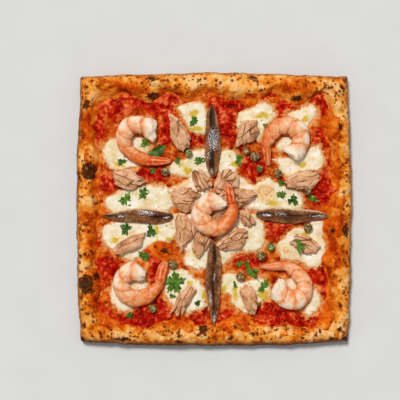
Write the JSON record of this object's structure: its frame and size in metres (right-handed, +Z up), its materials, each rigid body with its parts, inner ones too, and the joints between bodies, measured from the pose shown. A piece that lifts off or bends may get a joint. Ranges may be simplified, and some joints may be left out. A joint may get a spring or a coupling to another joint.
{
  "type": "square seafood pizza",
  "caption": "Square baked pizza with a puffed, charred rim round tomato sauce and melted mozzarella, topped with curled shrimps, anchovy fillets, tuna flakes, capers and parsley.",
  "frame": {"origin": "middle of the flat base, the bottom centre of the bounding box", "axes": "+Z up out of the toppings, +X towards the right-hand side of the picture, +Y towards its top, called the rear here"},
  "size_m": [0.2816, 0.2796, 0.0295],
  "materials": {
    "baked_dough": "baked, dry and uneven, charred on the bubbles",
    "tomato": "wet and lumpy",
    "cheese": "melted, smooth and oily",
    "shrimp": "moist, translucent flesh",
    "anchovy": "oily skin, silvery in places",
    "tuna": "fibrous, slightly moist",
    "caper": "moist, smooth",
    "parsley": "fresh leaf, satin"
  },
  "bodies": {
    "root": {"crust": "baked_dough", "tomato_sauce": "tomato", "mozzarella_rear_left": "cheese", "mozzarella_rear_right": "cheese", "mozzarella_front_left": "cheese", "mozzarella_front_right": "cheese", "shrimp_rear_left": "shrimp", "shrimp_rear_right": "shrimp", "shrimp_front_left": "shrimp", "shrimp_front_right": "shrimp", "shrimp_middle": "shrimp", "anchovy_rear": "anchovy", "anchovy_front": "anchovy", "anchovy_left": "anchovy", "anchovy_right": "anchovy", "tuna_outer_1": "tuna", "tuna_outer_2": "tuna", "tuna_outer_3": "tuna", "tuna_outer_4": "tuna", "tuna_outer_5": "tuna", "tuna_outer_6": "tuna", "tuna_outer_7": "tuna", "tuna_outer_8": "tuna", "tuna_middle_1": "tuna", "tuna_middle_2": "tuna", "tuna_middle_3": "tuna", "tuna_middle_4": "tuna", "tuna_middle_5": "tuna", "tuna_middle_6": "tuna", "tuna_middle_7": "tuna", "tuna_middle_8": "tuna", "caper_1": "caper", "caper_2": "caper", "caper_3": "caper", "caper_4": "caper", "caper_5": "caper", "caper_6": "caper", "caper_7": "caper", "caper_8": "caper", "caper_9": "caper", "caper_10": "caper", "caper_11": "caper", "caper_12": "caper", "caper_13": "caper", "parsley_1": "parsley", "parsley_2": "parsley", "parsley_3": "parsley", "parsley_4": "parsley", "parsley_5": "parsley", "parsley_6": "parsley", "parsley_7": "parsley", "parsley_8": "parsley", "parsley_9": "parsley", "parsley_10": "parsley", "parsley_11": "parsley", "parsley_12": "parsley", "parsley_13": "parsley", "parsley_14": "parsley", "parsley_15": "parsley", "parsley_16": "parsley"}
  },
  "joints": []
}
